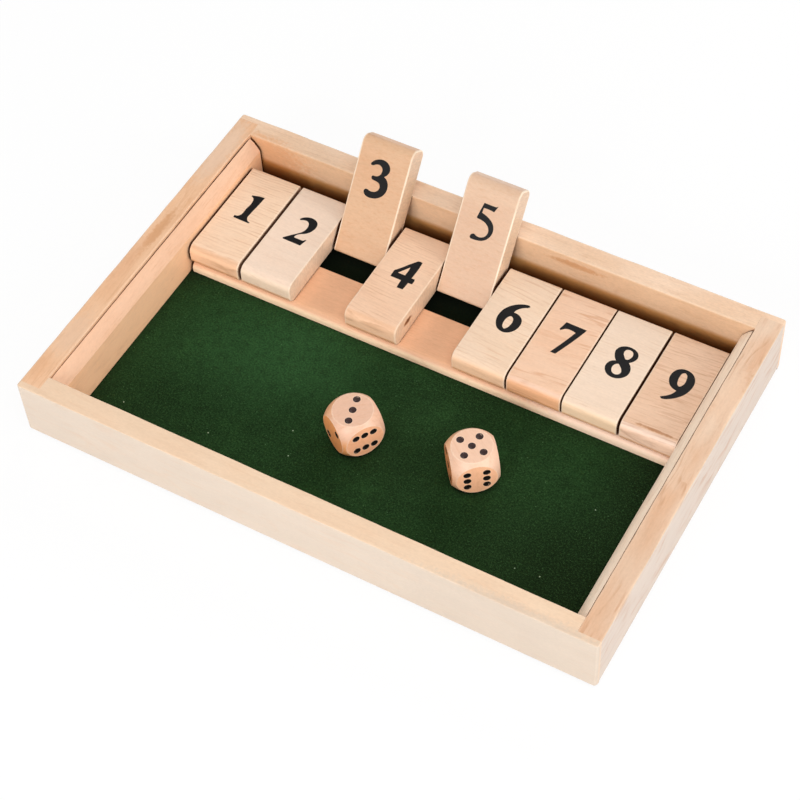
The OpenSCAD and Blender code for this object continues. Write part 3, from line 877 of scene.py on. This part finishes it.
def die(name, material):
    turn, counts, quarters = DICE[name]
    matrix = (Matrix.Translation(Vector(sum(box_mm(name)) / 2 * MM))
              @ Matrix.Rotation(math.radians(turn), 4, "Z"))
    half, n = DIE_SIZE / 2, FACE_STEPS
    steps = np.tan(np.linspace(-1, 1, n + 1) * math.pi / 4) * half
    verts, quads, weights, paint, tris = [], [], [], [], []
    rings, around = 6, 32
    for face, count, quarter in zip(FACE_TURNS.values(), counts, quarters):
        turned = turn_matrix(face) @ turn_matrix((0, 0, 90 * quarter))
        x, y = (a.copy() for a in np.meshgrid(steps, steps, indexing="ij"))
        on = np.zeros(x.shape, int)
        snap(x, y, on, (0, 0), FLAT_RADIUS, 1)
        centres = [(s * PIP_PITCH, t * PIP_PITCH) for s, t in PIPS[count]]
        for k, spot in enumerate(centres):
            snap(x, y, on, spot, PIP_RADIUS, 2 + k)
        points = np.stack([x, y, np.full_like(x, half)], -1).reshape(-1, 3)
        distance = np.linalg.norm(points, axis=1)
        points = points / distance[:, None] * np.minimum(distance, DIE_BALL)[:, None]
        for spot in centres:
            points[:, 2] -= dimple(np.hypot(points[:, 0] - spot[0], points[:, 1] - spot[1]))
        first = len(verts)
        verts += list(points @ turned.T)
        mark = on.ravel()
        # pale rims round the flats and the pips: painted highlight
        weights += list(np.where(mark == 1, 0.8, np.where(mark > 1, 1.0, 0.0)))
        for ring in grid(n, n):
            m = [mark[k] for k in ring]
            a, b, c, d = (first + k for k in ring)
            if m[0] and m[0] == m[2]:
                quads += [(a, b, c), (a, c, d)]
            elif m[1] and m[1] == m[3]:
                quads += [(b, c, d), (b, d, a)]
            else:
                quads.append((a, b, c, d))
        for spot in centres:
            first = len(paint)
            for r in range(rings + 1):
                rho = PIP_RADIUS * r / rings
                for k in range(around if r else 1):
                    a = math.tau * k / around
                    flat = np.array([spot[0] + rho * math.cos(a), spot[1] + rho * math.sin(a),
                                     half + PAINT_PROUD - dimple(rho)])
                    paint.append(turned @ flat)
            for k in range(around):
                tris.append((first, first + 1 + k, first + 1 + (k + 1) % around))
            for r in range(1, rings):
                a, b = first + 1 + (r - 1) * around, first + 1 + r * around
                for k in range(around):
                    m = (k + 1) % around
                    tris.append((a + k, b + k, b + m, a + m))
    new_piece(name + "_wood", verts, quads, material, name, (name,), weights, matrix,
              sharp=24)
    new_piece(name + "_pips", paint, tris, PAINT, name, matrix=matrix)


def paint_material():
    g = Graph("pip_paint")
    here = g.coords()
    colour = g.mix(g.span(g.noise(here, 2.2, 3.0), 0.4, 0.7), (6, 3, 3), (16, 10, 11))
    # painted sheen: the pips that look up are lighter
    colour = g.tint(colour, (60, 43, 41), g.facing((0, 0, 1)))
    return g.finish(colour, 0.5, g.noise(here, 5.0, 2.0), bump=0.15, Specular_IOR_Level=0.25)


PAINT = paint_material()


def flats(turn, **shades):
    """Painted light and shade on a die's round flats, which look straight out of it, by the face's
    name.
    """
    return [(tuple(turn_matrix((0, 0, turn)) @ turn_matrix(FACE_TURNS[face]) @ (0, 0, 1)), tone,
             0.85, 0.84, 0.96)
            for face, tone in shades.items()]


DIE_LOOK = dict(wander=1.6, cloud=0.6, coat=0.04, edge=(255, 232, 208), wear=0.6)
# the dice's tones by the way a face looks, flats and rounds alike, are painted light and shade
die("die_1", wood(
    "die_1_wood", (238, 197, 170), (234, 180, 148), (210, 146, 98), (-14, 6), 2.0,
    (0.2, 0.2, 0.2), turn=24, tilt=62, seed=31, **DIE_LOOK,
    tones=[((-0.85, -0.15, 0.5), (240, 176, 126), 0.7, 0.78, 1.0),
           ((0.1, -0.8, 0.6), (230, 186, 160), 0.8, 0.72, 0.95),
           ((0.2, -0.96, -0.2), (255, 174, 104), 0.8, 0.8, 1.0)]
    + flats(DICE["die_1"][0], top=(226, 183, 157), front=(255, 188, 144), left=(255, 168, 96),
            right=(240, 170, 116), back=(236, 176, 128))))
die("die_2", wood(
    "die_2_wood", (242, 201, 174), (238, 188, 156), (212, 152, 106), (16, -10), 2.4,
    (0.2, 0.2, 0.15), turn=70, tilt=15, seed=32, **DIE_LOOK,
    tones=[((-0.85, -0.15, 0.5), (240, 180, 130), 0.7, 0.78, 1.0),
           ((0, -0.8, 0.6), (234, 194, 168), 0.8, 0.72, 0.95),
           ((-0.3, -0.94, -0.1), (255, 190, 144), 0.7, 0.8, 1.0)]
    + flats(DICE["die_2"][0], top=(235, 194, 167), front=(255, 194, 152), left=(216, 134, 70),
            right=(238, 176, 124), back=(236, 176, 128))))


# Felt

# of the cells that could hold a speck, those that draw more than this do
LEAST_DRAWN = 0.84


def felt_material():
    g = Graph("felt")
    here = g.coords()
    cloud = g.noise(here, 0.022, 3.0, 0.6)
    nap = g.noise(here, 0.3, 3.0, 0.6)
    fibre = g.noise(here, 1.5, 5.0, 0.75)
    hairs = g.noise(here, 4.0, 3.0, 0.7)
    patch = g.noise(g.mapping(here, move=(7, 3, 1)), 0.07, 4.0, 0.65)
    colour = g.mix(g.span(cloud, 0.3, 0.7), (24, 50, 21), (34, 65, 31))
    colour = g.tint(colour, (18, 38, 16), g.span(patch, 0.42, 0.26, 0.0, 0.55))
    colour = g.tint(colour, (42, 78, 38), g.span(patch, 0.52, 0.72, 0.0, 0.6))
    # painted light at the middle left of the lining, painted shade along the right side, in the front
    # left corner and between the dice
    for centre, radii, tone, share in (((-48, -4, 0), (46, 30, 40), (44, 82, 44), 0.75),
                                       ((100, -46, 0), (66, 42, 40), (20, 34, 12), 0.85),
                                       ((-100, -60, 0), (40, 30, 40), (24, 44, 19), 0.6),
                                       ((14, -22, 0), (30, 26, 40), (24, 44, 18), 0.55),
                                       ((92, 0, 0), (20, 26, 40), (18, 30, 11), 0.7)):
        colour = g.tint(colour, tone, g.span(g.away(here, centre, radii), 1.25, 0.2), share)
    colour = g.tint(colour, (17, 35, 14), g.span(nap, 0.42, 0.7, 0.0, 0.35))
    colour = g.tint(colour, (12, 28, 10), g.span(fibre, 0.36, 0.56, 0.7, 0.0))
    colour = g.tint(colour, (58, 96, 52), g.span(fibre, 0.52, 0.72, 0.0, 0.75))
    colour = g.tint(colour, (66, 106, 60), g.span(hairs, 0.52, 0.7, 0.0, 0.5))
    for scale, size, tone, share in ((0.24, 0.035, (180, 206, 170), 0.9),
                                     (0.62, 0.05, (104, 146, 98), 0.8),
                                     (1.5, 0.08, (72, 112, 66), 0.7)):
        dots = g.make("ShaderNodeTexVoronoi", {"Vector": here, "Scale": scale})
        drawn = g.node("ShaderNodeSeparateColor", {0: dots.outputs["Color"]})
        speck = g.span(dots.outputs["Distance"], size * 2, size)
        colour = g.tint(colour, tone, speck, g.span(drawn, LEAST_DRAWN, LEAST_DRAWN + 0.02), share)
    # painted shade in the lining's hollows and near the walls, rails, strip and dice
    colour = g.tint(colour, (10, 14, 8), g.shut_in(14.0, 0.62, 0.15))
    # the lining lies in deep shade under the tiles, behind the rest strip
    behind = g.node("ShaderNodeSeparateXYZ", {0: here}, out="Y")
    behind = g.span(behind, STRIP_HI[1] - 2, STRIP_HI[1] + 1, 0.0, 0.85)
    colour = g.tint(colour, (9, 12, 8), behind)
    height = g.math("ADD", g.times(fibre, 0.7), g.times(nap, 0.5))
    return g.finish(colour, 0.95, height, bump=0.7, distance=0.15, Specular_IOR_Level=0.1,
                    Sheen_Weight=0.08, Sheen_Roughness=0.5, Sheen_Tint=srgb(110, 160, 100))


def felt():
    """The lining: its nap dips a little under the level that the dice and strip rest on."""
    nx, ny = 132, 84
    draw = random.Random(5)
    waves = [(draw.uniform(-1, 1), draw.uniform(-1, 1), draw.uniform(2.5, 14), draw.uniform(0, 6.3))
             for _ in range(24)]
    xs = np.linspace(FELT_LO[0], FELT_HI[0], nx + 1)
    ys = np.linspace(FELT_LO[1], FELT_HI[1], ny + 1)
    gx, gy = np.meshgrid(xs, ys, indexing="ij")
    level = np.zeros_like(gx)
    for a, b, w, f in waves:
        n = math.hypot(a, b)
        level += np.sin(math.tau * (a * gx + b * gy) / (n * w) + f)
    level = (level - level.max()) / (level.max() - level.min()) * NAP_DIP
    edge = np.minimum.reduce([gx - xs[0], xs[-1] - gx, gy - ys[0], ys[-1] - gy])
    level -= FELT_EDGE_DROP * np.clip(1 - edge / FELT_EDGE_REACH, 0, 1) ** 2
    verts = [(x, y, FELT_HI[2] + dz) for x, y, dz in zip(gx.ravel(), gy.ravel(), level.ravel())]
    quads = list(grid(nx, ny))
    index = np.arange(len(verts)).reshape(nx + 1, ny + 1)
    border = [*index[:, 0], *index[-1, 1:], *index[-2::-1, -1], *index[0, -2:0:-1]]
    first = len(verts)
    verts += [(verts[k][0], verts[k][1], FELT_LO[2]) for k in border]
    for k in range(len(border)):
        n = (k + 1) % len(border)
        quads.append((border[k], border[n], first + n, first + k))
    quads.append(tuple(range(first, first + len(border))))
    piece = new_piece("felt_lining", verts, quads, felt_material(), "tray", ("felt",),
                      sharp=50)


felt()


# CAD nodes that stay: base board and rod

def assign(node, material):
    piece = frame["nodes"][node]
    piece.data.materials.clear()
    piece.data.materials.append(material)


def rod_material():
    g = Graph("rod_steel")
    here = g.mapping(g.object_coords(), scale=(0.15, 8.0, 8.0))
    drawn = g.noise(here, 1.0, 4.0, 0.7)
    colour = g.mix(drawn, (176, 178, 182), (206, 208, 210))
    return g.finish(colour, g.span(drawn, 0.3, 0.7, 0.22, 0.4), drawn, bump=0.1, Metallic=1.0)


assign("base_board", wood("base_plywood", (226, 196, 156), (212, 176, 132), (168, 122, 80),
                          (20, -160), 5.5, (0.5, 0.5, 0.25), wander=14.0, cloud=0.7, seed=41,
                          rough=0.7, made=False))
assign("pivot_rod", rod_material())


# Camera, found from the tray's edges in the photograph

CAMERA_AT = (229.33, -361.21, 555.85)
CAMERA_TURN = (37.425, 2.475, 29.429)
CAMERA_LENS = 92.05
CAMERA_SENSOR = 36.0
camera_data = bpy.data.cameras.new("camera")
camera_data.lens = CAMERA_LENS
camera_data.sensor_width = CAMERA_SENSOR
camera_data.clip_start = 0.01
camera = add_object("camera", camera_data)
camera.matrix_world = Matrix.LocRotScale(
    Vector(CAMERA_AT) * MM, Euler([math.radians(a) for a in CAMERA_TURN]), None)
bpy.context.scene.camera = camera


# Floor, world and lamps

FLOOR_REACH = 6.0
FLOOR_LOW = -0.0002


def floor():
    corners = [(x * FLOOR_REACH, y * FLOOR_REACH, FLOOR_LOW)
               for x, y in ((-1, -1), (1, -1), (1, 1), (-1, 1))]
    mesh = bpy.data.meshes.new("floor")
    mesh.from_pydata(corners, [], [(0, 1, 2, 3)])
    g = Graph("floor")
    grain = g.noise(g.object_coords(), 0.01, 2.0)
    shaded = g.node("ShaderNodeBsdfDiffuse", {
        "Color": g.mix(grain, (246, 246, 246), (250, 250, 250))})
    bright = g.node("ShaderNodeEmission", {"Color": (1, 1, 1, 1), "Strength": 1.0})
    seen = g.times(g.seen_by("Is Camera Ray", "Is Glossy Ray", "Is Transmission Ray"), 0.9)
    both = g.node("ShaderNodeMixShader", {0: seen, 1: shaded, 2: bright})
    g.make("ShaderNodeOutputMaterial", {"Surface": both})
    mesh.materials.append(g.host)
    piece = add_object("floor", mesh)


def world(level):
    g = Graph("studio", "worlds")
    bpy.context.scene.world = g.host
    seen = g.seen_by("Is Camera Ray", "Is Transmission Ray")
    soft = g.node("ShaderNodeBackground", {"Color": (1.0, 0.985, 0.965, 1), "Strength": level})
    white = g.node("ShaderNodeBackground", {"Color": (1, 1, 1, 1), "Strength": 1.0})
    both = g.node("ShaderNodeMixShader", {0: seen, 1: soft, 2: white})
    g.make("ShaderNodeOutputWorld", {"Surface": both})


def lamp(name, turn, lift, size, power, colour=(1, 1, 1), away=1.3):
    """A square soft lamp aimed at the tray, turn degrees round from the front towards the right
    and lift degrees up."""
    data = bpy.data.lights.new(name, "AREA")
    data.shape = "SQUARE"
    data.size = size
    data.energy = power
    data.color = colour
    made = add_object(name, data)
    a, e = math.radians(turn), math.radians(lift)
    at = Vector((math.sin(a) * math.cos(e), -math.cos(a) * math.cos(e), math.sin(e))) * away
    made.location = at
    made.rotation_mode = "QUATERNION"
    made.rotation_quaternion = (-at).to_track_quat("-Z", "Y")


floor()
world(0.26)
lamp("key", 45, 55, 0.6, 4.6, (1.0, 0.99, 0.97))
lamp("front", 0, 26, 0.6, 9.3)
lamp("back", 180, 28, 0.7, 6.4)
lamp("right", 90, 23, 0.7, 7.6)
lamp("left", 270, 35, 0.7, 2.3)

bpy.context.scene.view_settings.view_transform = "Standard"
